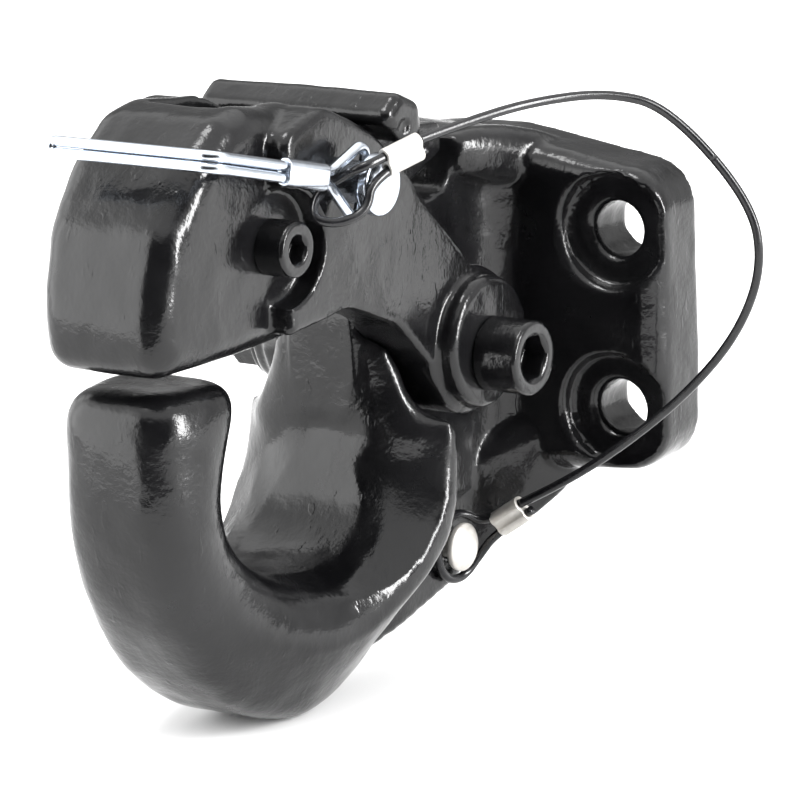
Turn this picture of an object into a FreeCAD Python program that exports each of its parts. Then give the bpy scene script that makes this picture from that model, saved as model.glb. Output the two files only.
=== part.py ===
import FreeCAD, Part
import math
import os
from FreeCAD import Vector

# Pintle hook for 2-1/2 to 3 inch lunette rings. Millimetres. The origin is the centre of the bolt
# pattern on the mounting face, +Y points at the towing vehicle, the hook's horn is at -Y, +Z is up.

INCH = 25.4

# mounting plate
BOLT_DX = 3.375 * INCH          # bolt pattern, side to side
BOLT_DZ = 1.75 * INCH           # bolt pattern, up and down
HOLE_R = 6.8                    # clearance hole for a 1/2 inch bolt
SPOT_DEPTH = 0.625 * INCH       # plate thickness left under a bolt head
SPOT_R = 14.0                   # machined floor for the bolt head and washer
SPOT_RIM_R = 15.6               # its chamfered rim
PLATE_T = 19.5
PLATE_HALF = 56.5
PLATE_TOP = 43.5
PLATE_SHOULDER = 36.5           # the height at which the plate's sloping top meets its sides
PLATE_BOTTOM = -41.5
PLATE_CORNER_R = 12.0
PLATE_EDGE_R = 6.0

# web, jaw pivot and jaw slot
WEB_HALF = 9.5
SLOT_HALF = 10.0
CHEEK_FACE = 25.0               # outer face of the jaw's cheeks
EAR_FACE = 30.0                 # outer face of the round bosses on the pivot
EAR_R = 18.0
BOSS_R = 16.0
EAR_CENTRE = (-53.0, 0.8)       # the ear is forged a little above the pin's axis
EAR_SWEEP_R = 19.6              # cleared in the hook so that the ear can turn
PIVOT = (-53.0, -2.0)           # (Y, Z) of the jaw's hinge pin
PIVOT_R = 5.95
PIVOT_BORE_R = 6.0

# throat
THROAT = (-109.5, -15.5)        # (Y, Z) of the middle of the throat's round part
THROAT_R = 29.3
BAND_HALF = 10.0                # half the width of its machined inner band

# jaw and lock
BEAK_HALF = 19.0
BEAK_NOSE_HALF = 16.8           # the beak narrows to this at its nose
LOCK_PIVOT = (-127.0, 37.0)     # (Y, Z) of the lock lever's hinge pin
LOCK_SCREW_R = 3.95
LOCK_BORE_R = 4.0
LOCK_BOSS_R = 11.0
LOCK_RECESS_R = 13.5            # round recess for the lock screw's head
LOCK_HALF = 9.5
BAR_HALF = 27.0                 # half the length of the thumb bar
JAW_OPEN_DEG = 38.0
LOCK_RATIO = 0.65               # the lock lever lifts this much for each degree of the jaw

# safety pin with its wire handle
PIN = (-105.5, 48.8)            # (Y, Z) of the pin's axis
PIN_R = 3.2
PIN_BORE_R = 3.25
PIN_TIP = -29.0
PIN_NECK_R = 5.0
PIN_HEAD_R = 7.2
WIRE_X = 30.0                   # plane of the wire handle's arms, and its cross hole in the pin's neck
WIRE_R = 1.25
WIRE_GAP = 1.27                 # half the distance between the two strands
WIRE_SPREAD = 8.6               # half the height of the loop where it passes the pin
WIRE_TILT = 14.5                # degrees that the handle's arms rise towards the front
SLEEVE_FROM, SLEEVE_TO = 15.5, 31.5   # along the arms, from the pin's axis
ARM_LENGTH = 58.0               # along the arms, from the pin's axis to the bend
WIRE_END_X = -13.5

# lanyard
CABLE_R = 1.1
FERRULE = (10.0, 6.8, 3.9)      # length, height, thickness
LANE = (FERRULE[1] - FERRULE[2]) / 2     # half the distance between a ferrule's two bores
PIN_FERRULE = Vector(39.6, -103.0, 55.6)
BASE_FERRULE = Vector(22.0, -33.5, -48.0)
SPAN_MIDDLE = Vector(80.2, -33.25, 46.0)      # where the two halves of the span are joined
RIVET = (-40.0, -55.5)          # (Y, Z)
RIVET_SHANK_R = 3.0
RIVET_HEAD_R = 6.0
KEEL_HALF = 8.0

X_AXIS = Vector(1, 0, 0)
Y_AXIS = Vector(0, 1, 0)
Z_AXIS = Vector(0, 0, 1)


def outline(points, at):
    """Closed wire through corner points (a, b, radius), each corner rounded; at maps (a, b) to space."""
    count = len(points)
    spots = [Vector(p[0], p[1], 0) for p in points]
    cuts = []
    for i, (a, b, radius) in enumerate(points):
        here = spots[i]
        back = (spots[i - 1] - here).normalize()
        ahead = (spots[(i + 1) % count] - here).normalize()
        turn = back.getAngle(ahead)
        if radius <= 0 or math.pi - turn < 1e-3:
            cuts.append((here, None, here))
            continue
        reach = radius / math.tan(turn / 2)
        middle = (back + ahead).normalize()
        far = radius / math.sin(turn / 2) - radius
        cuts.append((here + back * reach, here + middle * far, here + ahead * reach))
    edges = []
    for i, (start, middle, end) in enumerate(cuts):
        if middle is not None:
            edges.append(Part.Arc(*[at(p.x, p.y) for p in (start, middle, end)]).toShape())
        following = cuts[(i + 1) % count][0]
        if (following - end).Length > 1e-6:
            edges.append(Part.LineSegment(at(end.x, end.y), at(following.x, following.y)).toShape())
    return Part.Wire(edges)


def side_plate(points, low, high):
    """Prism along X from an outline given in (Y, Z)."""
    wire = outline(points, lambda a, b: Vector(low, a, b))
    return Part.Face(wire).extrude(Vector(high - low, 0, 0))


def front_plate(points, low, high):
    """Prism along Y from an outline given in (X, Z)."""
    wire = outline(points, lambda a, b: Vector(a, low, b))
    return Part.Face(wire).extrude(Vector(0, high - low, 0))


def rod(centre, radius, low, high):
    """Cylinder along X about (Y, Z)."""
    return Part.makeCylinder(radius, high - low, Vector(low, centre[0], centre[1]), X_AXIS)


def fuse(shapes):
    body = shapes[0]
    for shape in shapes[1:]:
        body = body.fuse(shape)
    return body.removeSplitter()


def section(inner, outer, width, lip, foot, radii):
    """Six-sided rounded section across a forged limb, from inner to outer in (Y, Z), widths along X.

    It keeps its full width for lip, then tapers to foot at the outer end. radii are those of the inner,
    the side and the outer corners.
    """
    depth = math.hypot(outer[0] - inner[0], outer[1] - inner[1])
    dy, dz = (outer[0] - inner[0]) / depth, (outer[1] - inner[1]) / depth
    points = [(-width / 2, 0, radii[0]), (width / 2, 0, radii[0]), (width / 2, lip, radii[1]),
              (foot / 2, depth, radii[2]), (-foot / 2, depth, radii[2]), (-width / 2, lip, radii[1])]
    return outline(points, lambda a, b: Vector(a, inner[0] + b * dy, inner[1] + b * dz))


def upright(y, half, low, high, radius):
    """Rounded rectangle in an upright plane across the object."""
    points = [(-half, low, radius), (half, low, radius), (half, high, radius), (-half, high, radius)]
    return outline(points, lambda a, b: Vector(a, y, b))


def loft(wires):
    return Part.makeLoft(wires, True, False)


def rounded(shape, radius, pick):
    """Fillet the edges that pick accepts."""
    return shape.makeFillet(radius, [edge for edge in shape.Edges if pick(edge)])


def hexagon(centre, across_flats, low, high):
    """Hexagonal prism along X."""
    radius = across_flats / math.sqrt(3)
    corners = [Vector(low, centre[0] + radius * math.cos(math.radians(60 * i)),
                      centre[1] + radius * math.sin(math.radians(60 * i))) for i in range(6)]
    return Part.Face(Part.makePolygon(corners + corners[:1])).extrude(Vector(high - low, 0, 0))


def cone_end(centre, across_flats, low, high, chamfer):
    """Turned envelope that chamfers a hexagon's corners at both ends."""
    corner = across_flats / math.sqrt(3) + 0.01
    flat = across_flats / 2
    profile = [Vector(low, 0, 0), Vector(low, flat, 0), Vector(low + chamfer, corner, 0),
               Vector(high - chamfer, corner, 0), Vector(high, flat, 0), Vector(high, 0, 0)]
    face = Part.Face(Part.makePolygon(profile + profile[:1]))
    turned = face.revolve(Vector(0, 0, 0), X_AXIS, 360)
    turned.translate(Vector(0, centre[0], centre[1]))
    return turned


def cap_screw(centre, shank_r, head_r, head_h, key, seat, end):
    """Socket head cap screw along X, head on the +X side of seat."""
    head = rod(centre, head_r, seat, seat + head_h)
    head = rounded(head, 0.9, lambda e: abs(e.BoundBox.XMin - (seat + head_h)) < 1e-3 and e.Length > 20)
    socket = hexagon(centre, key, seat + head_h * 0.45, seat + head_h + 1)
    lead = Part.makeCone(key * 0.5, key * 0.64, 0.8, Vector(seat + head_h - 0.75, *centre), X_AXIS)
    shank = rod(centre, shank_r, end, seat)
    shank = shank.makeChamfer(0.8, [e for e in shank.Edges if abs(e.BoundBox.XMax - end) < 1e-3])
    return fuse([head, shank]).cut(socket).cut(lead).removeSplitter()


def lock_nut(centre, bore_r, across_flats, seat, height, ring_r, ring_h):
    """Nut on the -X side of seat with a collar that holds a nylon ring: returns (nut, ring)."""
    body = hexagon(centre, across_flats, seat - height, seat)
    body = body.common(cone_end(centre, across_flats, seat - height, seat, 0.9))
    collar = rod(centre, ring_r + 0.9, seat - height - ring_h, seat - height)
    nut = fuse([body, collar]).cut(rod(centre, bore_r, seat - height - ring_h - 1, seat + 1))
    nut = nut.cut(rod(centre, ring_r, seat - height - ring_h - 1, seat - height + 0.4))
    ring = rod(centre, ring_r, seat - height - ring_h + 0.3, seat - height + 0.4)
    ring = ring.cut(rod(centre, bore_r, seat - height - ring_h, seat))
    return nut, ring


def bolt_spots():
    return [(sx * BOLT_DX / 2, sz * BOLT_DZ / 2) for sx in (-1, 1) for sz in (-1, 1)]


def mounting_plate():
    corner = PLATE_CORNER_R
    plate = front_plate([(-PLATE_HALF, PLATE_BOTTOM + 5, corner), (0, PLATE_BOTTOM, 60),
                         (PLATE_HALF, PLATE_BOTTOM + 5, corner), (PLATE_HALF, PLATE_SHOULDER, corner),
                         (9, PLATE_TOP, 30), (-9, PLATE_TOP, 30),
                         (-PLATE_HALF, PLATE_SHOULDER, corner)], -PLATE_T, 0)
    plate = rounded(plate, PLATE_EDGE_R, lambda e: e.BoundBox.YMax < -PLATE_T + 1e-3)
    return rounded(plate, 1.2, lambda e: e.BoundBox.YMin > -1e-3)


def bolt_hole(x, z):
    """Everything a mounting hole takes out of the plate: bore, flat for the bolt head, rim and mouth."""
    bore = Part.makeCylinder(HOLE_R, 60, Vector(x, 10, z), -Y_AXIS)
    spot = Part.makeCylinder(SPOT_R, 40, Vector(x, -SPOT_DEPTH, z), -Y_AXIS)
    rim_y = -PLATE_T + 1.2
    rim = Part.makeCone(SPOT_R, SPOT_RIM_R + 2, 4, Vector(x, rim_y, z), -Y_AXIS)
    mouth = Part.makeCone(HOLE_R, HOLE_R + 1.4, 1.4, Vector(x, -SPOT_DEPTH + 1.3, z), -Y_AXIS)
    return bore.fuse([spot, rim, mouth])


def hook_limb():
    """The C of the hook, from the tip of the horn round under the ring to the wings beside the web."""
    horn, bow, wing = (13, 6, 9), (14, 5, 8), (4.5, 4, 5)
    stations = [
        ((-140.5, 8.2), (-158.5, 8.2), 21, 9, 17, (7, 7, 7)),
        ((-137.3, 7.3), (-162.0, 7.3), 28.5, 12, 23, (8, 8, 8)),
        ((-135.6, 4.6), (-164.4, 4.6), 34, 15, 27, (9, 8, 9)),
        ((-136.3, -4.0), (-165.8, -5.0), 36, 16, 28, (11, 7, 9)),
        ((-139.2, -18.0), (-165.4, -22.0), 36, 17, 28, horn),
        ((-135.8, -29.8), (-160.5, -42.5), 37, 17, 28, horn),
        ((-127.0, -38.5), (-149.0, -60.0), 41, 17, 28, bow),
        ((-116.5, -43.5), (-131.5, -73.5), 46, 16, 26, bow),
        ((-105.0, -45.0), (-110.3, -79.8), 51, 15, 24, (12, 5, 8)),
        ((-94.0, -42.0), (-90.0, -76.5), 56, 13, 20, (10, 5, 6)),
        ((-85.2, -33.5), (-67.0, -62.0), 60, 14.5, 18, (6, 4, 5)),
        ((-81.4, -23.0), (-56.0, -31.0), 61, 15, 18, wing),
        ((-81.0, -13.0), (-58.0, -13.0), 60, 14, 18, wing),
    ]
    return loft([section(*station) for station in stations])


def throat_flanks():
    """What the throat's rounded flanks take off either side of its machined inner band."""
    y, z = THROAT
    cones = []
    for side in (-1, 1):
        at, turn = Vector(side * BAND_HALF, y, z), Vector(side, 0, 0)
        cones.append(Part.makeCone(THROAT_R, THROAT_R + 3.2, 10, at, turn))
        cones.append(Part.makeCone(THROAT_R + 3.2, THROAT_R + 11.2, 12, at + turn * 10, turn))
    return cones


def gussets():
    """Rounded shoulders between the web's sides and the tops of the wings."""
    levels = []
    for z, reach in ((-20, 27), (-8, 21), (6.5, 15)):
        half = reach - 9
        plan = [(9, -80.3, 0), (9 + half * 0.45, -80.0, 2), (9 + half * 0.9, -77.4, 2.5),
                (9 + half, -72, 2), (9 + half, -66, 0), (9, -66, 0)]
        levels.append(outline(plan, lambda a, b, height=z: Vector(a, b, height)))
    near = loft(levels)
    line = side_plate([(-90, 16, 0), (-60, -14, 0), (-60, -30, 0), (-90, -30, 0)], 0, 40)
    near = near.common(line)
    return [near, near.mirror(Vector(0, 0, 0), X_AXIS)]


def web():
    """The flat central wall: it carries the jaw's pivot and stands inside the jaw's slot."""
    return side_plate([(-4, 40, 0), (-37.5, 45.5, 2), (-39.5, 34, 4), (-60, 30.5, 14), (-77, 23, 9),
                       (-81.3, 12, 8), (-80.8, -16, 20), (-74, -30, 0), (-62, -43, 8), (-24, -42.5, 0),
                       (-2, -38, 0)],
                      -WEB_HALF, WEB_HALF)


def keel():
    """Rib under the web, from the back of the hook to the foot of the plate."""
    return side_plate([(-75, -25, 0), (-97, -60, 0), (-95, -76, 6), (-62, -70.5, 30), (-38, -65.5, 30),
                       (-20, -56, 18), (-8, -41, 0), (-8, -20, 0)], -KEEL_HALF, KEEL_HALF)


def hook_base():
    foot = loft([upright(*at) for at in ((-36, 8.0, -64, -38, 3), (-30, 10.0, -61, -34, 4),
                                         (-24, 16.5, -56.5, -30, 5), (-16, 25, -49, -24, 5),
                                         (-8, 29, -41, -20, 5))])
    root = loft([upright(*at) for at in ((-36, 9.5, -40, 40, 3), (-28, 10.0, -40, 40, 3),
                                         (-23, 12.5, -40, 40, 3), (-19, 18, -40, 40, 3))])
    crown = loft([upright(*at) for at in ((-37.5, 12, 37, 46.3, 4), (-33, 14, 35.5, 47.2, 4),
                                          (-25, 17, 33, 47, 5), (-17, 20, 31, 45.5, 5),
                                          (-8, 24, 28, 42.5, 5))])
    limb = hook_limb()
    for cone in throat_flanks():
        limb = limb.cut(cone)
    base = fuse([mounting_plate(), web(), limb, keel(), foot, root, crown] + gussets())
    for side in (-1, 1):
        low, high = sorted((side * WEB_HALF, side * (EAR_FACE + 3)))
        base = base.cut(rod(PIVOT, EAR_SWEEP_R, low, high))
    for x, z in bolt_spots():
        base = base.cut(bolt_hole(x, z))
    base = base.cut(rod(PIVOT, PIVOT_R, -20, 20))
    base = base.cut(rod(RIVET, RIVET_SHANK_R, -20, 20))
    return base


def cheek_outline():
    """Side view of a cheek, without its round ear."""
    y, z = PIVOT
    return [(-127.5, 16.5, 1), (-127.5, 62.5, 5), (-112, 67.4, 14), (-90, 57, 24), (y - 3, z + 25.6, 14),
            (y + 12, z + 9, 0), (y - 2, z - 10, 0), (y - 14, z - 4, 4), (-84.5, 11, 20), (-104, 18.5, 16)]


def upper_jaw():
    beak = side_plate([(-112, 13.5, 0), (-165.5, 13, 6), (-168.3, 27, 30), (-163.5, 45, 18), (-151, 60.3, 14),
                       (-140, 67.9, 10), (-131, 69.2, 8), (-120, 67.6, 20), (-112, 67.0, 0)],
                      -BEAK_HALF, BEAK_HALF)
    taper = [(-112, BEAK_HALF, 0), (-148, BEAK_HALF, 30), (-170, BEAK_NOSE_HALF, 0)]
    plan = taper + [(y, -x, r) for y, x, r in reversed(taper)]
    nose = Part.Face(outline(plan, lambda a, b: Vector(b, a, 0))).extrude(Vector(0, 0, 100))
    beak = beak.common(nose)
    beak = rounded(beak, 7.0, lambda e: e.BoundBox.YMax < -112.5 and e.BoundBox.XMin * e.BoundBox.XMax > 225)
    cheeks = side_plate(cheek_outline(), -CHEEK_FACE, CHEEK_FACE)
    cheeks = rounded(cheeks, 2.0, lambda e: abs(e.BoundBox.XLength) < 1e-3)
    ear = rod(EAR_CENTRE, EAR_R, -CHEEK_FACE, CHEEK_FACE)
    ear = rounded(ear, 1.5, lambda e: abs(e.BoundBox.XLength) < 1e-3)
    boss = rod(EAR_CENTRE, BOSS_R, -EAR_FACE, EAR_FACE)
    boss = rounded(boss, 2.0, lambda e: abs(e.BoundBox.XLength) < 1e-3)
    jaw = fuse([beak, cheeks, ear, boss])
    slot = side_plate([(-132, 95, 0), (-132, 57, 5), (-141, 52, 8), (-141, 24, 12), (-118, 24, 6),
                       (-113, 5, 0), (-113, -60, 0), (0, -60, 0), (0, 95, 0)], -SLOT_HALF, SLOT_HALF)
    jaw = jaw.cut(slot)
    for side in (-1, 1):
        low, high = sorted((side * BEAK_HALF, side * (CHEEK_FACE + 5)))
        jaw = jaw.cut(rod(LOCK_PIVOT, LOCK_RECESS_R, low, high))
    jaw = jaw.cut(rod(PIVOT, PIVOT_BORE_R, -40, 40))
    jaw = jaw.cut(rod(LOCK_PIVOT, LOCK_SCREW_R, -40, 40))
    return jaw.cut(rod(PIN, PIN_BORE_R, -40, 40))


def lock_lever():
    """Strut in the jaw's slot: round eye on the screw, tail against the web's crown, thumb bar on top."""
    y, z = LOCK_PIVOT
    strut = side_plate([(y + 2, z - 11, 0), (-108, 27.5, 4), (-92, 32, 14), (-60, 36.5, 14),
                        (-40.5, 43.5, 1.5), (-41.5, 50.5, 2), (-66, 52.5, 12), (-76, 58, 4), (-84, 62.5, 3),
                        (-93, 58.5, 4), (-100, 55.5, 6), (y + 6, z + 9.5, 4)], -LOCK_HALF, LOCK_HALF)
    eye = rod(LOCK_PIVOT, LOCK_BOSS_R, -LOCK_HALF, LOCK_HALF)
    bar = thumb_bar()
    lever = fuse([strut, eye, bar])
    lever = lever.cut(rod(LOCK_PIVOT, LOCK_BORE_R, -20, 20))
    lever = lever.cut(rod(LOCK_PIVOT, 8.4, 2.6, 20))
    return lever.cut(pin_slot())


def pin_slot():
    """Curved slot about the lock's hinge that lets the lever lift past the safety pin."""
    y, z = LOCK_PIVOT
    reach = math.hypot(PIN[0] - y, PIN[1] - z)
    rest = math.degrees(math.atan2(PIN[1] - z, PIN[0] - y))
    angles = [math.radians(a) for a in (rest - JAW_OPEN_DEG * LOCK_RATIO, rest)]
    ends = [rod((y + reach * math.cos(a), z + reach * math.sin(a)), PIN_BORE_R, -20, 20) for a in angles]
    wedge = side_plate([(y, z, 0)] + [(y + 80 * math.cos(a), z + 80 * math.sin(a), 0) for a in angles],
                       -20, 20)
    ring = rod(LOCK_PIVOT, reach + PIN_BORE_R, -20, 20).cut(rod(LOCK_PIVOT, reach - PIN_BORE_R, -20, 20))
    return fuse(ends + [ring.common(wedge)])


def thumb_bar():
    """Roof-shaped bar across the top of the lever, a little higher in the middle."""
    profile = [(-91.5, 60.5, 2.5), (-84, 65.9, 3.5), (-75.5, 62.2, 3), (-74.5, 52.5, 3), (-82, 53.5, 3)]
    bar = side_plate(profile, -BAR_HALF, BAR_HALF)
    bar = rounded(bar, 2.5, lambda e: abs(e.BoundBox.XLength) < 1e-3)
    for side in (-1, 1):
        low, high = sorted((side * (BAR_HALF - 0.8), side * (BAR_HALF + 1)))
        bar = bar.cut(rod((-83, 57.5), 2.2, low, high))
    return bar


def lock_spring():
    """Torsion spring round the lock screw, between the lever's eye and the slot's wall."""
    wire_r, coil_r, pitch, turns = 0.7, 5.6, 1.6, 3
    start = 3.6
    helix = Part.makeHelix(pitch, pitch * turns, coil_r)
    helix.rotate(Vector(0, 0, 0), Y_AXIS, 90)
    helix.translate(Vector(start, *LOCK_PIVOT))
    edge = helix.Edges[0]
    first = edge.valueAt(edge.FirstParameter)
    tangent = edge.tangentAt(edge.FirstParameter)
    profile = Part.Wire([Part.Circle(first, tangent, wire_r).toShape()])
    coil = Part.Wire(helix.Edges).makePipeShell([profile], True, True)
    last = edge.valueAt(edge.LastParameter)
    leg_dir = edge.tangentAt(edge.LastParameter)
    legs = [Part.makeCylinder(wire_r, 4.5, first, tangent * -1),
            Part.makeCylinder(wire_r, 4.5, last, leg_dir)]
    return fuse([coil] + legs)


def run_path(points):
    """Straight runs joined by tangent arcs; each arc takes 0.45 of the shorter run beside it."""
    edges, radii = [], []
    start = points[0]
    for i in range(1, len(points) - 1):
        here = points[i]
        back, ahead = points[i - 1] - here, points[i + 1] - here
        take = 0.45 * min(back.Length, ahead.Length)
        back.normalize()
        ahead.normalize()
        turn = math.pi - back.getAngle(ahead)
        radius = take / math.tan(turn / 2)
        middle = here + (back + ahead).normalize() * (radius / math.cos(turn / 2) - radius)
        edges.append(Part.LineSegment(start, here + back * take).toShape())
        edges.append(Part.Arc(here + back * take, middle, here + ahead * take).toShape())
        start = here + ahead * take
        radii.append(radius)
    edges.append(Part.LineSegment(start, points[-1]).toShape())
    return Part.Wire(edges), radii


def tube(points, radius, name):
    path, radii = run_path(points)
    along = (points[1] - points[0]).normalize()
    profile = Part.Wire([Part.Circle(points[0], along, radius).toShape()])
    solid = path.makePipeShell([profile], True, False)
    wanted = math.pi * radius ** 2 * path.Length
    print("%s: length %.1f, smallest radius %.1f, volume %.1f of %.1f"
          % (name, path.Length, min(radii), solid.Volume, wanted))
    return solid


def arm_point(along, up):
    """Point in the plane of the wire handle's arms, measured from the pin's axis."""
    tilt = math.radians(WIRE_TILT)
    return Vector(WIRE_X, PIN[0] - along * math.cos(tilt) + up * math.sin(tilt),
                  PIN[1] + along * math.sin(tilt) + up * math.cos(tilt))


def safety_pin():
    tip = Part.makeCone(PIN_R - 1.2, PIN_R, 2.5, Vector(PIN_TIP, *PIN), X_AXIS)
    shank = rod(PIN, PIN_R, PIN_TIP + 2.5, CHEEK_FACE + 0.2)
    neck = rod(PIN, PIN_NECK_R, CHEEK_FACE + 0.2, 34)
    head = rod(PIN, PIN_HEAD_R, 33, 36)
    head = rounded(head, 0.5, lambda e: abs(e.BoundBox.XLength) < 1e-3)
    pin = fuse([tip, shank, neck, head])
    across = arm_point(0, 15) - arm_point(0, -15)
    return pin.cut(Part.makeCylinder(WIRE_R + 0.1, 30, arm_point(0, -15), across))


def pin_wire_handle():
    """Two strands from the pin's cross hole, side by side through the sleeve to the end loop."""
    strands = []
    for side in (1, -1):
        bend = arm_point(ARM_LENGTH, side * WIRE_GAP)
        end = Vector(WIRE_END_X - WIRE_GAP, bend.y, bend.z)
        inward = (arm_point(ARM_LENGTH, 0) - bend)
        route = [arm_point(0, 0), arm_point(0, side * (WIRE_SPREAD + 1.2)),
                 arm_point(SLEEVE_FROM - 2.0, side * WIRE_GAP), bend, end, end + inward]
        strands.append(bent_wire(route, WIRE_R, (2.2, 6.0, 4.0, WIRE_GAP)))
    return fuse(strands)


def bent_wire(route, radius, bends):
    """Round wire along straight runs, with a bend radius for each corner."""
    edges = []
    start = route[0]
    for i in range(1, len(route) - 1):
        here = route[i]
        back, ahead = route[i - 1] - here, route[i + 1] - here
        turn = math.pi - back.getAngle(ahead)
        limit = 0.98 * min(back.Length, ahead.Length)
        take = min(bends[i - 1] * math.tan(turn / 2), limit)
        here_bend = take / math.tan(turn / 2)
        back.normalize()
        ahead.normalize()
        middle = here + (back + ahead).normalize() * (here_bend / math.cos(turn / 2) - here_bend)
        edges.append(Part.LineSegment(start, here + back * take).toShape())
        edges.append(Part.Arc(here + back * take, middle, here + ahead * take).toShape())
        start = here + ahead * take
    edges.append(Part.LineSegment(start, route[-1]).toShape())
    path = Part.Wire(edges)
    along = (route[1] - route[0]).normalize()
    profile = Part.Wire([Part.Circle(route[0], along, radius).toShape()])
    return path.makePipeShell([profile], True, False)


def pin_wire_sleeve():
    """Flat oval sleeve over both strands."""
    start, end = arm_point(SLEEVE_FROM, 0), arm_point(SLEEVE_TO, 0)
    up = (arm_point(SLEEVE_FROM, 1) - start).normalize()
    return barrels(start, (end - start).normalize(), up, (end - start).Length, WIRE_R, WIRE_GAP, 0.65)


def barrels(start, along, up, length, bore_r, offset, wall):
    """Double-barrel crimp from start along its axis, with its two bores one above the other."""
    side = along.cross(up)
    outer_r = bore_r + wall
    parts = [Part.makeCylinder(outer_r, length, start + up * (s * offset), along) for s in (1, -1)]
    corners = [start + up * (a * offset) + side * (b * outer_r)
               for a, b in ((1, 1), (-1, 1), (-1, -1), (1, -1))]
    parts.append(Part.Face(Part.makePolygon(corners + corners[:1])).extrude(along * length))
    body = fuse(parts)
    bores = [Part.makeCylinder(bore_r, length + 2, start - along + up * (s * offset), along) for s in (1, -1)]
    for bore in bores:
        body = body.cut(bore)
    return body


def ferrule(centre, along, up):
    length = FERRULE[0]
    wall = FERRULE[2] / 2 - CABLE_R
    return barrels(centre - along * (length / 2), along, up, length, CABLE_R, LANE, wall)


def ferrule_frame(centre, towards, upward):
    along = (towards - centre).normalize()
    up = (upward - along * upward.dot(along)).normalize()
    return along, up


def lanyard_rivet():
    dome = Part.makeSphere(9.0, Vector(KEEL_HALF + 3.2 - 5.6, *RIVET))
    slab = rod(RIVET, RIVET_HEAD_R, KEEL_HALF + 3.0, KEEL_HALF + 12)
    head = dome.common(slab)
    tail_dome = Part.makeSphere(7.0, Vector(-KEEL_HALF + 4.3, *RIVET))
    tail = tail_dome.common(rod(RIVET, 5.0, -KEEL_HALF - 6, -KEEL_HALF))
    return fuse([head, rod(RIVET, RIVET_SHANK_R, -KEEL_HALF - 1, KEEL_HALF + 3.1), tail])


PIN_ALONG, PIN_UP = ferrule_frame(PIN_FERRULE, Vector(46, -84.5, 60.8), Vector(0, -0.2, 1))
BASE_ALONG, BASE_UP = ferrule_frame(BASE_FERRULE, Vector(37, -35.5, -38), Vector(0, -0.3, 1))


def ferrule_end(centre, along, up, end, lane):
    return centre + along * (end * FERRULE[0] / 2) + up * (lane * LANE)


def pin_loop_route():
    """Free end behind the ferrule, through it, round the lower strand of the wire handle, and back."""
    return [ferrule_end(PIN_FERRULE, PIN_ALONG, PIN_UP, 1.3, -1),
            ferrule_end(PIN_FERRULE, PIN_ALONG, PIN_UP, -1.9, -1), Vector(37.2, -114.0, 44.2),
            Vector(33.2, -120.6, 42.2), Vector(28.6, -123.4, 43.6), Vector(26.9, -120.2, 47.0),
            Vector(27.2, -116.6, 49.2), Vector(30.6, -114.0, 51.8), Vector(35.6, -113.6, 54.2),
            ferrule_end(PIN_FERRULE, PIN_ALONG, PIN_UP, -1.5, 1),
            ferrule_end(PIN_FERRULE, PIN_ALONG, PIN_UP, 1, 1)]


def upper_span_route():
    return [ferrule_end(PIN_FERRULE, PIN_ALONG, PIN_UP, 1.05, 1), Vector(46, -84.5, 60.8),
            Vector(52.5, -67.5, 62.9), Vector(62, -50.5, 62.2), Vector(73, -38.5, 57), SPAN_MIDDLE]


def lower_span_route():
    return [SPAN_MIDDLE, Vector(87.4, -28, 35), Vector(89.6, -27, 19.5), Vector(82.8, -27, 2.8),
            Vector(69.3, -28, -13), Vector(53, -31, -27), Vector(37, -34, -38),
            ferrule_end(BASE_FERRULE, BASE_ALONG, BASE_UP, 1.05, 1)]


def base_loop_route():
    """Free end behind the ferrule, through it, round the rivet under its head, and back."""
    y, z = RIVET
    flat = KEEL_HALF + CABLE_R + 0.3
    return [ferrule_end(BASE_FERRULE, BASE_ALONG, BASE_UP, 1.3, -1),
            ferrule_end(BASE_FERRULE, BASE_ALONG, BASE_UP, -1.5, -1), Vector(12.0, y + 7.6, z - 3.6),
            Vector(flat + 0.4, y + 2.2, z - 9.2), Vector(flat, y - 5.4, z - 7.0), Vector(flat, y - 8.4, z),
            Vector(flat, y - 4.6, z + 6.8), Vector(flat + 0.6, y + 2.0, z + 8.6),
            ferrule_end(BASE_FERRULE, BASE_ALONG, BASE_UP, -1.6, 1),
            ferrule_end(BASE_FERRULE, BASE_ALONG, BASE_UP, 1, 1)]


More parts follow.
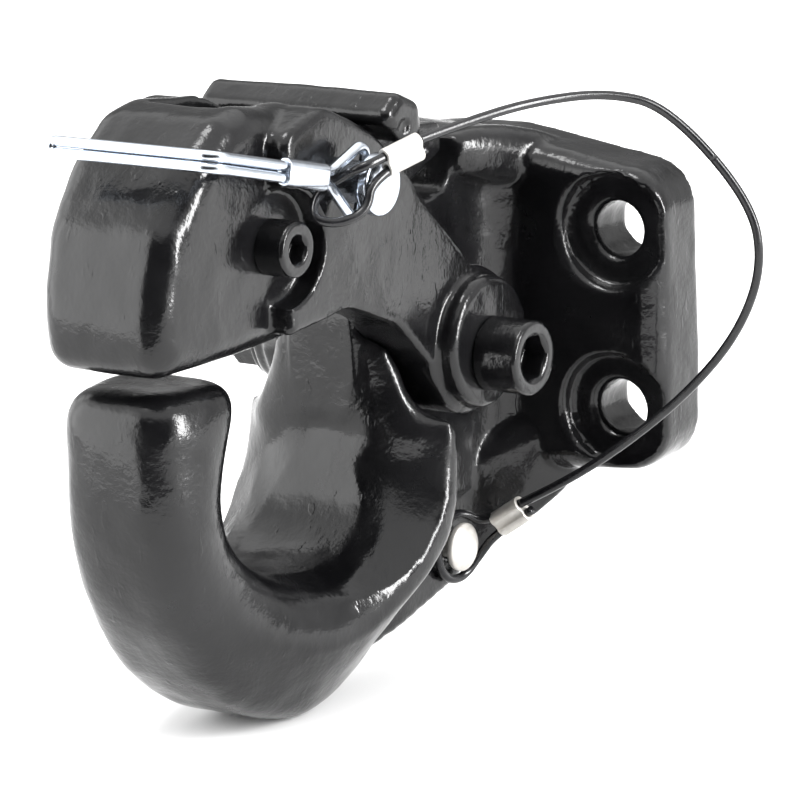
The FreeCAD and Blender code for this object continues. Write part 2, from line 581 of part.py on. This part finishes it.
def build():
    parts = {"hook_base": hook_base(), "upper_jaw": upper_jaw(), "lock_lever": lock_lever()}
    seat = EAR_FACE + 0.2
    parts["pivot_bolt"] = cap_screw(PIVOT, PIVOT_R, 9.0, 12.0, 10.0, seat, -48.0)
    washer = rod(PIVOT, 12.0, -seat - 2.5, -seat).cut(rod(PIVOT, PIVOT_R, -40, 40))
    parts["pivot_washer"] = washer
    parts["pivot_nut"], parts["pivot_nut_insert"] = lock_nut(PIVOT, PIVOT_R, 18.0, -seat - 2.5, 9.0, 7.6, 3.0)
    parts["lock_bolt"] = cap_screw(LOCK_PIVOT, LOCK_SCREW_R, 6.5, 8.0, 6.0, BEAK_HALF, -29.0)
    parts["lock_nut"], parts["lock_nut_insert"] = lock_nut(LOCK_PIVOT, LOCK_SCREW_R, 13.0, -BEAK_HALF, 6.3,
                                                           5.2, 2.2)
    parts["lock_spring"] = lock_spring()
    parts["safety_pin"] = safety_pin()
    parts["pin_wire_handle"] = pin_wire_handle()
    parts["pin_wire_sleeve"] = pin_wire_sleeve()
    parts["lanyard_rivet"] = lanyard_rivet()
    parts["lanyard_pin_ferrule"] = ferrule(PIN_FERRULE, PIN_ALONG, PIN_UP)
    parts["lanyard_base_ferrule"] = ferrule(BASE_FERRULE, BASE_ALONG, BASE_UP)
    parts["lanyard_pin_loop"] = tube(pin_loop_route(), CABLE_R, "pin loop")
    parts["lanyard_upper_span"] = tube(upper_span_route(), CABLE_R, "upper span")
    parts["lanyard_lower_span"] = tube(lower_span_route(), CABLE_R, "lower span")
    parts["lanyard_base_loop"] = tube(base_loop_route(), CABLE_R, "base loop")
    return parts


os.makedirs("parts", exist_ok=True)
for name, shape in build().items():
    if shape.ShapeType == "Compound" and len(shape.Solids) == 1:
        shape = shape.Solids[0]
    print("%-22s solids %d valid %s volume %.1f" % (name, len(shape.Solids), shape.isValid(), shape.Volume))
    shape.exportStep("parts/%s.step" % name)
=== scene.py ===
import math

import bpy
import numpy as np
from mathutils import Matrix, Vector, noise


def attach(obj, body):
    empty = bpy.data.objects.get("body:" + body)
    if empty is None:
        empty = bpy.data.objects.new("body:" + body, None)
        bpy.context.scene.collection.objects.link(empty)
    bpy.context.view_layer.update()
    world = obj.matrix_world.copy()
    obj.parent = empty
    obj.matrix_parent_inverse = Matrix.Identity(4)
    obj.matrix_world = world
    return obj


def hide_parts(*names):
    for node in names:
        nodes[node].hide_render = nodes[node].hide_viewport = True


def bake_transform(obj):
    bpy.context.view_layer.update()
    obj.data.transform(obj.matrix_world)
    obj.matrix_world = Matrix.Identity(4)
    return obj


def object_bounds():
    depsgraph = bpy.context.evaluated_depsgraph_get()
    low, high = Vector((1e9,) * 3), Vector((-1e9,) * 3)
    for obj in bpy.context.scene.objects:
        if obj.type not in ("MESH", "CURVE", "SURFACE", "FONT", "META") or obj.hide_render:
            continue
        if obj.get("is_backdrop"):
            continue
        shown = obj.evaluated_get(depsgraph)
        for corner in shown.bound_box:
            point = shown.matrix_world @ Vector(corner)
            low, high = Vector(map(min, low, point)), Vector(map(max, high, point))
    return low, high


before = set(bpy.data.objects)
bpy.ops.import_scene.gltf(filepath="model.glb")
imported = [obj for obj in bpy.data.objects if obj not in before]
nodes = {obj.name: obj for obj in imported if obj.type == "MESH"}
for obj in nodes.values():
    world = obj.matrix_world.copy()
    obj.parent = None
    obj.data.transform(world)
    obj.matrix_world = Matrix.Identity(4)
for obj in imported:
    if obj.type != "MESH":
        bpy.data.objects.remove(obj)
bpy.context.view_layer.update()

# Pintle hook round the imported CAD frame, in metres. The origin is the centre of the bolt pattern on the
# plate's back face, the hook reaches along -Y, +Z is up and the safety pin goes in from +X.

MM = 0.001


# ---------------------------------------------------------------- camera, lights and floor

AZIMUTH, ELEVATION, ROLL = math.radians(34.0), math.radians(13.7), math.radians(1.7)
CAMERA_AT = Vector((0.6332, -0.9869, 0.2581))
LIGHTS_AIM = Vector((0, -0.08, 0))

# the studio surround: its strength all round, then the walls over it, each with its strength, start, end and
# soft edge in degrees from -Y towards +X; the paint reflects these, and the camera sees the plain backdrop
SURROUND = 3.0
WALLS = ((6.5, -80, -15, 10), (1.6, 80, 172, 7))     # front left, right
BEHIND, BEHIND_FROM, BEHIND_TO, BEHIND_SOFT = 0.45, 165, -115, 12
FRONT_OPENING = (0.05, -15, 80, 8)
CEILING, CEILING_STARTS, CEILING_FULL = 2.6, 0.5, 0.75
BACKDROP = 1.0


def make_camera():
    back = Vector((math.sin(AZIMUTH) * math.cos(ELEVATION), -math.cos(AZIMUTH) * math.cos(ELEVATION),
                   math.sin(ELEVATION)))
    level = Vector((math.cos(AZIMUTH), math.sin(AZIMUTH), 0))
    up = back.cross(level)
    right = level * math.cos(ROLL) - up * math.sin(ROLL)
    up = level * math.sin(ROLL) + up * math.cos(ROLL)
    data = bpy.data.cameras.new("camera")
    data.lens = 215.46
    data.sensor_width = 36
    data.clip_start = 0.05
    data.clip_end = 50
    camera = bpy.data.objects.new("camera", data)
    camera.matrix_world = Matrix(((right.x, up.x, back.x, CAMERA_AT.x), (right.y, up.y, back.y, CAMERA_AT.y),
                                  (right.z, up.z, back.z, CAMERA_AT.z), (0, 0, 0, 1)))
    bpy.context.scene.collection.objects.link(camera)
    bpy.context.scene.camera = camera
    bpy.context.scene.view_settings.view_transform = "Standard"


def softbox(name, at, width, height, power):
    data = bpy.data.lights.new(name, "AREA")
    data.shape = "RECTANGLE"
    data.size, data.size_y = width, height
    data.energy = power
    light = bpy.data.objects.new(name, data)
    direction = LIGHTS_AIM - Vector(at)
    light.location = at
    light.rotation_euler = direction.to_track_quat("-Z", "Y").to_euler()
    bpy.context.scene.collection.objects.link(light)


def make_world():
    """White studio with a dark opening where the camera stands. The backdrop itself looks pale all round."""
    world = bpy.data.worlds.new("studio")
    bpy.context.scene.world = world
    world.use_nodes = True
    tree = world.node_tree
    tree.nodes.clear()

    def math_node(kind, *values):
        node = tree.nodes.new("ShaderNodeMath")
        node.operation = kind
        for i, value in enumerate(values):
            if isinstance(value, (int, float)):
                node.inputs[i].default_value = value
            else:
                tree.links.new(value, node.inputs[i])
        return node.outputs[0]

    def ramp(value, start, end):
        node = tree.nodes.new("ShaderNodeMapRange")
        node.interpolation_type = "SMOOTHSTEP"
        node.inputs["From Min"].default_value = start
        node.inputs["From Max"].default_value = end
        tree.links.new(value, node.inputs["Value"])
        return node.outputs["Result"]

    def toward(value, goal, weight):
        """Moves a strength toward the goal by the weight."""
        return math_node("ADD", math_node("MULTIPLY", value, math_node("SUBTRACT", 1.0, weight)),
                         math_node("MULTIPLY", weight, goal))

    def between(value, start, end, soft):
        return math_node("MULTIPLY", ramp(value, start - soft, start + soft),
                         math_node("SUBTRACT", 1.0, ramp(value, end - soft, end + soft)))

    split = tree.nodes.new("ShaderNodeSeparateXYZ")
    tree.links.new(tree.nodes.new("ShaderNodeTexCoord").outputs["Generated"], split.inputs[0])
    turn = math_node("ARCTAN2", split.outputs["X"], math_node("MULTIPLY", split.outputs["Y"], -1.0))
    azimuth = math_node("MULTIPLY", turn, 180 / math.pi)
    low = math_node("SUBTRACT", 1.0, ramp(split.outputs["Z"], CEILING_STARTS, CEILING_FULL))
    behind = math_node("SUBTRACT", 1.0, between(azimuth, BEHIND_TO, BEHIND_FROM, BEHIND_SOFT))
    strength = SURROUND
    for wall, start, end, soft in WALLS:
        strength = toward(strength, wall, between(azimuth, start, end, soft))
    strength = toward(strength, BEHIND, behind)
    strength = toward(strength, FRONT_OPENING[0], between(azimuth, *FRONT_OPENING[1:]))
    strength = toward(CEILING, strength, low)
    sees_backdrop = tree.nodes.new("ShaderNodeLightPath").outputs["Is Camera Ray"]
    strength = toward(strength, BACKDROP, sees_backdrop)
    output = tree.nodes.new("ShaderNodeOutputWorld")
    background = tree.nodes.new("ShaderNodeBackground")
    tree.links.new(strength, background.inputs["Strength"])
    tree.links.new(background.outputs[0], output.inputs[0])


def make_floor(height):
    """A white table top whose front edge is just out of the picture."""
    mesh = bpy.data.meshes.new("floor")
    half, front = 6.0, -0.40
    mesh.from_pydata([(-half, front, height), (half, front, height), (half, half, height),
                      (-half, half, height)], [], [(0, 1, 2, 3)])
    floor = bpy.data.objects.new("floor", mesh)
    bpy.context.scene.collection.objects.link(floor)
    material = bpy.data.materials.new("floor_paper")
    material.use_nodes = True
    shader = material.node_tree.nodes["Principled BSDF"]
    shader.inputs["Base Color"].default_value = (0.93, 0.93, 0.93, 1)
    shader.inputs["Roughness"].default_value = 0.9
    shader.inputs["Specular IOR Level"].default_value = 0.1
    mesh.materials.append(material)
    floor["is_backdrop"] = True


# ---------------------------------------------------------------- materials

class Shade:
    """A Principled material with small helpers for procedural nodes in object coordinates."""

    def __init__(self, name, **values):
        self.material = bpy.data.materials.new(name)
        self.material.use_nodes = True
        self.tree = self.material.node_tree
        self.shader = self.tree.nodes["Principled BSDF"]
        self.place = self.add("ShaderNodeTexCoord").outputs["Object"]
        self.normal = None
        for key, value in values.items():
            self.shader.inputs[key.replace("_", " ")].default_value = value

    def add(self, kind, **values):
        node = self.tree.nodes.new(kind)
        for key, value in values.items():
            setattr(node, key, value)
        return node

    def link(self, a, b):
        self.tree.links.new(a, b)

    def noise(self, scale, detail=3.0, rough=0.55, distortion=0.0, stretch=(1, 1, 1)):
        mapping = self.add("ShaderNodeMapping")
        mapping.inputs["Scale"].default_value = stretch
        self.link(self.place, mapping.inputs["Vector"])
        node = self.add("ShaderNodeTexNoise")
        node.inputs["Scale"].default_value = scale
        node.inputs["Detail"].default_value = detail
        node.inputs["Roughness"].default_value = rough
        node.inputs["Distortion"].default_value = distortion
        self.link(mapping.outputs[0], node.inputs["Vector"])
        return node.outputs["Fac"]

    def span(self, value, low, high, from_low=0.3, from_high=0.7):
        node = self.add("ShaderNodeMapRange")
        node.inputs["From Min"].default_value = from_low
        node.inputs["From Max"].default_value = from_high
        node.inputs["To Min"].default_value = low
        node.inputs["To Max"].default_value = high
        self.link(value, node.inputs["Value"])
        return node.outputs["Result"]

    def blend(self, value, low, high, from_low=0.35, from_high=0.65):
        node = self.add("ShaderNodeValToRGB")
        node.color_ramp.elements[0].position = from_low
        node.color_ramp.elements[0].color = (*low, 1)
        node.color_ramp.elements[1].position = from_high
        node.color_ramp.elements[1].color = (*high, 1)
        self.link(value, node.inputs["Fac"])
        return node.outputs["Color"]

    def bump(self, height, strength, distance):
        node = self.add("ShaderNodeBump")
        node.inputs["Strength"].default_value = strength
        node.inputs["Distance"].default_value = distance
        self.link(height, node.inputs["Height"])
        if self.normal is not None:
            self.link(self.normal, node.inputs["Normal"])
        self.normal = node.outputs["Normal"]
        self.link(self.normal, self.shader.inputs["Normal"])
        if self.shader.inputs["Coat Weight"].default_value > 0:
            self.link(self.normal, self.shader.inputs["Coat Normal"])

    def rough(self, value):
        self.link(value, self.shader.inputs["Roughness"])

    def color(self, value):
        self.link(value, self.shader.inputs["Base Color"])


def enamel(name, rate, depth):
    """Thick gloss black paint: forging lumps, small dashes and orange peel under a hard clear gloss."""
    shade = Shade(name, Roughness=0.2, Specular_IOR_Level=0.18, Coat_Weight=0.28, Coat_Roughness=0.04,
                  Coat_IOR=1.5)
    shade.color(shade.blend(shade.noise(45, 4), (0.0025, 0.0025, 0.0028), (0.006, 0.006, 0.0065)))
    shade.rough(shade.span(shade.noise(90, 4, 0.6), 0.14, 0.30))
    shade.bump(shade.noise(rate, 2, 0.45, 0.3), 0.5, depth)
    dashes = shade.span(shade.noise(330, 2, 0.5, 0, (1, 1, 0.45)), 1.0, 0.0, 0.30, 0.36)
    shade.bump(dashes, 0.35, 0.00012)
    shade.bump(shade.noise(240, 2, 0.5), 0.4, 0.0003)
    shade.bump(shade.noise(700, 3, 0.6), 0.5, 0.00018)
    return shade.material


def zinc(name):
    """Bright zinc plate with a blue cast, a little uneven in gloss."""
    shade = Shade(name, Metallic=1.0, Roughness=0.3)
    shade.color(shade.blend(shade.noise(160, 4), (0.50, 0.54, 0.60), (0.60, 0.64, 0.70)))
    shade.rough(shade.span(shade.noise(700, 3), 0.16, 0.26))
    shade.bump(shade.noise(1500, 2, 0.5), 0.05, 0.00003)
    return shade.material


def soft_aluminium(name):
    """Pale drawn aluminium, matt, with faint lengthwise marks."""
    shade = Shade(name, Metallic=0.55, Roughness=0.45, Specular_IOR_Level=0.4)
    shade.color(shade.blend(shade.noise(350, 4), (0.50, 0.48, 0.45), (0.58, 0.56, 0.53)))
    shade.rough(shade.span(shade.noise(900, 3), 0.38, 0.55))
    shade.bump(shade.noise(1400, 3, 0.6, 0, (0.3, 1, 1)), 0.25, 0.00006)
    return shade.material


def vinyl(name):
    """Black vinyl coat over wire rope."""
    shade = Shade(name, Roughness=0.2, Specular_IOR_Level=0.35)
    shade.color(shade.blend(shade.noise(300, 3), (0.005, 0.005, 0.006), (0.012, 0.012, 0.013)))
    shade.rough(shade.span(shade.noise(500, 3), 0.14, 0.26))
    shade.bump(shade.noise(900, 2), 0.12, 0.00008)
    return shade.material


def nylon(name):
    shade = Shade(name, Roughness=0.5, Subsurface_Weight=0.1)
    shade.color(shade.blend(shade.noise(400, 3), (0.06, 0.11, 0.24), (0.09, 0.15, 0.30)))
    shade.rough(shade.span(shade.noise(900, 3), 0.42, 0.6))
    return shade.material


# ---------------------------------------------------------------- rebuilding a CAD node's surface

def finish_mesh(mesh, name, body, slot_name, material, *stands_for):
    mesh.materials.clear()
    mesh.materials.append(material)
    mesh.shade_smooth()
    piece = bpy.data.objects.new(name, mesh)
    bpy.context.scene.collection.objects.link(piece)
    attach(piece, body)
    if stands_for:
        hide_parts(*stands_for)
    return piece


def recast(node, voxel, passes):
    """The node's own shape as an even mesh with its edges worn round, as forging, paint or plating leaves."""
    start = bpy.data.objects.new("recast_" + node, nodes[node].data.copy())
    bpy.context.scene.collection.objects.link(start)
    remesh = start.modifiers.new("even", "REMESH")
    remesh.mode = "VOXEL"
    remesh.voxel_size = voxel
    smooth = start.modifiers.new("worn", "SMOOTH")
    smooth.factor = 0.5
    smooth.iterations = passes
    graph = bpy.context.evaluated_depsgraph_get()
    mesh = bpy.data.meshes.new_from_object(start.evaluated_get(graph), depsgraph=graph)
    bpy.data.objects.remove(start)
    mesh.name = node
    return mesh


def vertices_of(mesh):
    flat = np.empty(len(mesh.vertices) * 3, np.float32)
    mesh.vertices.foreach_get("co", flat)
    return flat.reshape(-1, 3)


def wear(mesh, regions):
    """Rounds the surface further inside balls: regions are (centre, radius, passes)."""
    places = vertices_of(mesh)
    edges = np.array([tuple(e.vertices) for e in mesh.edges])
    ends = np.concatenate((edges[:, 0], edges[:, 1]))
    others = np.concatenate((edges[:, 1], edges[:, 0]))
    count = np.bincount(ends, minlength=len(places))[:, None]
    for centre, radius, passes in regions:
        distance = np.linalg.norm(places - np.array(centre), axis=1)
        weight = 0.6 * np.clip(1.5 * (1 - (distance / radius) ** 2), 0, 1)[:, None]
        for _ in range(passes):
            near = places[others]
            mean = np.stack([np.bincount(ends, near[:, k], len(places)) for k in range(3)], 1) / count
            places += weight * (mean - places)
    mesh.vertices.foreach_set("co", places.ravel().astype(np.float32))
    mesh.update()


def lumpy(mesh, layers):
    """Moves each vertex along its normal by smooth noise: layers are (features per metre, depth, seed)."""
    places = vertices_of(mesh)
    normals = np.array([v.normal for v in mesh.vertices], np.float32)
    shift = np.zeros(len(places), np.float32)
    for rate, depth, seed in layers:
        offset = Vector((seed * 3.7, seed * 1.3, seed * 2.1))
        shift += np.array([noise.noise(Vector(p) * rate + offset) for p in places.tolist()],
                          np.float32) * depth
    mesh.vertices.foreach_set("co", (places + normals * shift[:, None]).ravel())
    mesh.update()


def cast_piece(node, body, material, voxel, passes, layers, slot_name="forging", worn=()):
    mesh = recast(node, voxel, passes)
    wear(mesh, worn)
    if layers:
        lumpy(mesh, layers)
    return finish_mesh(mesh, node + "_skin", body, slot_name, material, node)


# ---------------------------------------------------------------- lanyard

CABLE_R = 1.1 * MM

# the control points of the cable's routes in the CAD, in metres; the upper span's arc is a little fuller
PIN_LOOP = [(0.04169, -0.09668, 0.05587), (0.03663, -0.1113, 0.05176), (0.0372, -0.114, 0.0442),
            (0.0332, -0.1206, 0.0422), (0.0286, -0.1234, 0.0436), (0.0269, -0.1202, 0.047),
            (0.0272, -0.1166, 0.0492), (0.0306, -0.114, 0.0518), (0.0356, -0.1136, 0.0542),
            (0.0372, -0.11023, 0.05507), (0.04115, -0.09881, 0.05828)]
UPPER_SPAN = [(0.04123, -0.09859, 0.05835), (0.046, -0.0845, 0.0608), (0.0525, -0.0675, 0.0629),
              (0.0622, -0.0503, 0.0630), (0.0722, -0.0391, 0.0582), (0.0802, -0.03325, 0.046)]
LOWER_SPAN = [(0.0802, -0.03325, 0.046), (0.0874, -0.028, 0.035), (0.0896, -0.027, 0.0195),
              (0.0828, -0.027, 0.0028), (0.0693, -0.028, -0.013), (0.053, -0.031, -0.027),
              (0.037, -0.034, -0.038), (0.02553, -0.03447, -0.04397)]
BASE_LOOP = [(0.02819, -0.03382, -0.04555), (0.01661, -0.03228, -0.05327), (0.012, -0.0324, -0.0591),
             (0.0098, -0.0378, -0.0647), (0.0094, -0.0454, -0.0625), (0.0094, -0.0484, -0.0555),
             (0.0094, -0.0446, -0.0487), (0.01, -0.038, -0.0469), (0.01457, -0.03301, -0.05127),
             (0.02532, -0.03445, -0.04411)]


def spline_line(name, points):
    """A smooth curve with the route's points as its control points, and the points along it."""
    curve = bpy.data.curves.new(name, "CURVE")
    curve.dimensions = "3D"
    curve.resolution_u = 24
    spline = curve.splines.new("NURBS")
    spline.points.add(len(points) - 1)
    for spot, point in zip(spline.points, points):
        spot.co = (*point, 1)
    spline.order_u = 3
    spline.use_endpoint_u = True
    holder = bpy.data.objects.new(name + "_line", curve)
    bpy.context.scene.collection.objects.link(holder)
    mesh = bpy.data.meshes.new_from_object(holder)
    line = [v.co.copy() for v in mesh.vertices]
    bpy.data.objects.remove(holder)
    bpy.data.meshes.remove(mesh)
    return line


def even_steps(line, step):
    """The same line with its points about a step apart."""
    run = [0.0]
    for a, b in zip(line, line[1:]):
        run.append(run[-1] + (b - a).length)
    count = max(2, round(run[-1] / step))
    steps = []
    at = 0
    for i in range(count + 1):
        goal = run[-1] * i / count
        while at < len(run) - 2 and run[at + 1] < goal:
            at += 1
        part = (goal - run[at]) / max(run[at + 1] - run[at], 1e-12)
        steps.append(line[at].lerp(line[at + 1], min(max(part, 0), 1)))
    return steps, run[-1]


def tube_mesh(name, line, radius, sides=16):
    """Round tube along a line, with flat ends and no twist."""
    rings = []
    tangent = (line[1] - line[0]).normalized()
    side = tangent.orthogonal().normalized()
    for i, point in enumerate(line):
        ahead = (line[min(i + 1, len(line) - 1)] - line[max(i - 1, 0)]).normalized()
        side = (side - ahead * side.dot(ahead)).normalized()
        across = ahead.cross(side)
        rings.append([point + (side * math.cos(a) + across * math.sin(a)) * radius
                      for a in (2 * math.pi * k / sides for k in range(sides))])
    spots = [p for ring in rings for p in ring]
    faces = []
    for i in range(len(rings) - 1):
        for k in range(sides):
            n = (k + 1) % sides
            faces.append((i * sides + k, i * sides + n, (i + 1) * sides + n, (i + 1) * sides + k))
    faces.append(tuple(reversed(range(sides))))
    faces.append(tuple(range((len(rings) - 1) * sides, len(rings) * sides)))
    mesh = bpy.data.meshes.new(name)
    mesh.from_pydata([tuple(p) for p in spots], [], faces)
    return mesh


def cable(name, points, body, node, other=None):
    line, length = even_steps(spline_line(name, points), 0.6 * MM)
    mesh = tube_mesh(name, line, CABLE_R)
    mesh.materials.append(CABLE)
    mesh.shade_smooth()
    piece = bpy.data.objects.new(name, mesh)
    bpy.context.scene.collection.objects.link(piece)
    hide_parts(node)
    if other is None:
        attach(piece, body)
    else:
        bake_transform(piece)
    return piece


# ---------------------------------------------------------------- wire handle and ferrules

PIN_AXIS = Vector((0.030, -0.1055, 0.0488))
ARM_TILT = math.radians(14.5)
WIRE_R = 1.25 * MM
STRAND_HALF_PITCH = 1.3     # millimetres
ARM_LENGTH, LOOP_HALF, SLEEVE_START, FAR_END_X = 58, 9.8, 13.5, -13.5


def arm_point(along, up):
    """Point in the plane of the handle's arms, from the pin's axis, in millimetres."""
    return PIN_AXIS + Vector((0, up * math.sin(ARM_TILT) - along * math.cos(ARM_TILT),
                              along * math.sin(ARM_TILT) + up * math.cos(ARM_TILT))) * MM


def bent_line(route, bends, step):
    """Points along a bent wire: straight runs with a round bend at each corner."""
    line = [route[0]]
    for i in range(1, len(route) - 1):
        here = route[i]
        back, ahead = route[i - 1] - here, route[i + 1] - here
        turn = math.pi - back.angle(ahead)
        take = min(bends[i - 1] * math.tan(turn / 2), 0.49 * min(back.length, ahead.length))
        radius = take / math.tan(turn / 2)
        back.normalize()
        ahead.normalize()
        centre = here + (back + ahead).normalized() * (radius / math.cos(turn / 2))
        first, last = here + back * take - centre, here + ahead * take - centre
        count = max(3, round(radius * turn / step))
        for k in range(count + 1):
            line.append(centre + first.slerp(last, k / count) * radius)
    line.append(route[-1])
    return even_steps(line, step)[0]


def wire_handle():
    """One wire from the pin's cross hole, through the sleeve, round the end and back."""
    gap = STRAND_HALF_PITCH
    tip = {side: arm_point(ARM_LENGTH, side * gap) for side in (1, -1)}
    ends = {side: Vector(((FAR_END_X - gap) * MM, tip[side].y, tip[side].z)) for side in (1, -1)}
    route = [arm_point(0, 0), arm_point(0, LOOP_HALF), arm_point(SLEEVE_START, gap), tip[1], ends[1],
             ends[-1], tip[-1], arm_point(SLEEVE_START, -gap), arm_point(0, -LOOP_HALF), arm_point(0, 0)]
    bends = [b * MM for b in (2.2, 6.0, 4.0, 1.2, 1.2, 4.0, 6.0, 2.2)]
    mesh = tube_mesh("wire", bent_line(route, bends, 0.45 * MM), WIRE_R, 20)
    return finish_mesh(mesh, "pin_wire_handle_skin", "pin", "zinc", ZINC, "pin_wire_handle")


GROOVE_HALF_WIDTH, GROOVE_DEPTH = 1.1 * MM, 0.32 * MM
CRIMP_HALF_LENGTH, CRIMP_DEPTH, FLAT_SIDE_FROM = 4.2 * MM, 0.10 * MM, 1.2 * MM


def ferrule_skin(node, body, centre, along, up):
    """Crimped double barrel: the recast tube with a groove pressed between its two lanes."""
    mesh = recast(node, 0.18 * MM, 3)
    centre, along, up = Vector(centre), Vector(along), Vector(up)
    across = along.cross(up)
    for vertex in mesh.vertices:
        offset = vertex.co - centre
        height, side = offset.dot(up), offset.dot(across)
        if abs(side) > FLAT_SIDE_FROM:
            groove = max(0.0, 1 - (height / GROOVE_HALF_WIDTH) ** 2) * GROOVE_DEPTH
            squeeze = max(0.0, 1 - (offset.dot(along) / CRIMP_HALF_LENGTH) ** 4) * CRIMP_DEPTH
            vertex.co -= across * math.copysign(groove + squeeze, side)
    return finish_mesh(mesh, node + "_skin", body, "aluminium", ALUMINIUM, node)


# ---------------------------------------------------------------- building

FORGED = enamel("black_enamel_on_forging", 60, 0.0008)
TURNED = enamel("black_enamel_on_screws", 130, 0.0001)
ZINC = zinc("zinc_plate")
ALUMINIUM = soft_aluminium("pale_aluminium")
CABLE = vinyl("black_vinyl")
NYLON = nylon("blue_nylon")

make_camera()
make_world()
make_floor(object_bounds()[0][2])
softbox("top", (-0.2, -0.4, 1.5), 0.5, 0.5, 14)
softbox("right", (1.6, 0.15, 0.5), 0.30, 1.2, 55)

cable("pin_loop_cable", PIN_LOOP, "lanyard_end", "lanyard_pin_loop", other="pin")
cable("upper_cable", UPPER_SPAN, "jaw", "lanyard_upper_span", other="lanyard_end")
cable("lower_cable", LOWER_SPAN, "base", "lanyard_lower_span", other="jaw")
cable("base_loop_cable", BASE_LOOP, "base", "lanyard_base_loop")

FORGING_LUMPS = ((55, 0.00045, 1), (160, 0.00016, 2))
cast_piece("hook_base", "base", FORGED, 0.92 * MM, 3, FORGING_LUMPS,
           worn=(((0.024, -0.074, -0.016), 0.020, 60), ((-0.024, -0.074, -0.016), 0.020, 60),
                 ((0, -0.158, -0.030), 0.045, 70)))
cast_piece("upper_jaw", "jaw", FORGED, 0.7 * MM, 4, FORGING_LUMPS)
cast_piece("lock_lever", "lock", FORGED, 0.6 * MM, 3, FORGING_LUMPS)
for node, body, voxel in (("pivot_bolt", "base", 0.4), ("lock_bolt", "jaw", 0.32), ("pivot_nut", "base", 0.4),
                          ("lock_nut", "jaw", 0.3), ("pivot_washer", "base", 0.4)):
    cast_piece(node, body, TURNED, voxel * MM, 3, (), "black_steel")
for node, body, voxel in (("safety_pin", "pin", 0.3), ("pin_wire_sleeve", "pin", 0.2),
                          ("lock_spring", "jaw", 0.15)):
    cast_piece(node, body, ZINC, voxel * MM, 2, (), "zinc")
wire_handle()
cast_piece("lanyard_rivet", "base", ALUMINIUM, 0.25 * MM, 3, (), "aluminium")
ferrule_skin("lanyard_pin_ferrule", "lanyard_end", (0.0396, -0.103, 0.0556), (0.316, 0.9134, 0.2567),
             (-0.023, -0.2631, 0.9645))
ferrule_skin("lanyard_base_ferrule", "base", (0.022, -0.0335, -0.048), (0.827, -0.1103, 0.5513),
             (-0.5586, -0.2723, 0.7835))
for node in ("pivot_nut_insert", "lock_nut_insert"):
    nodes[node].data.materials.clear()
    nodes[node].data.materials.append(NYLON)
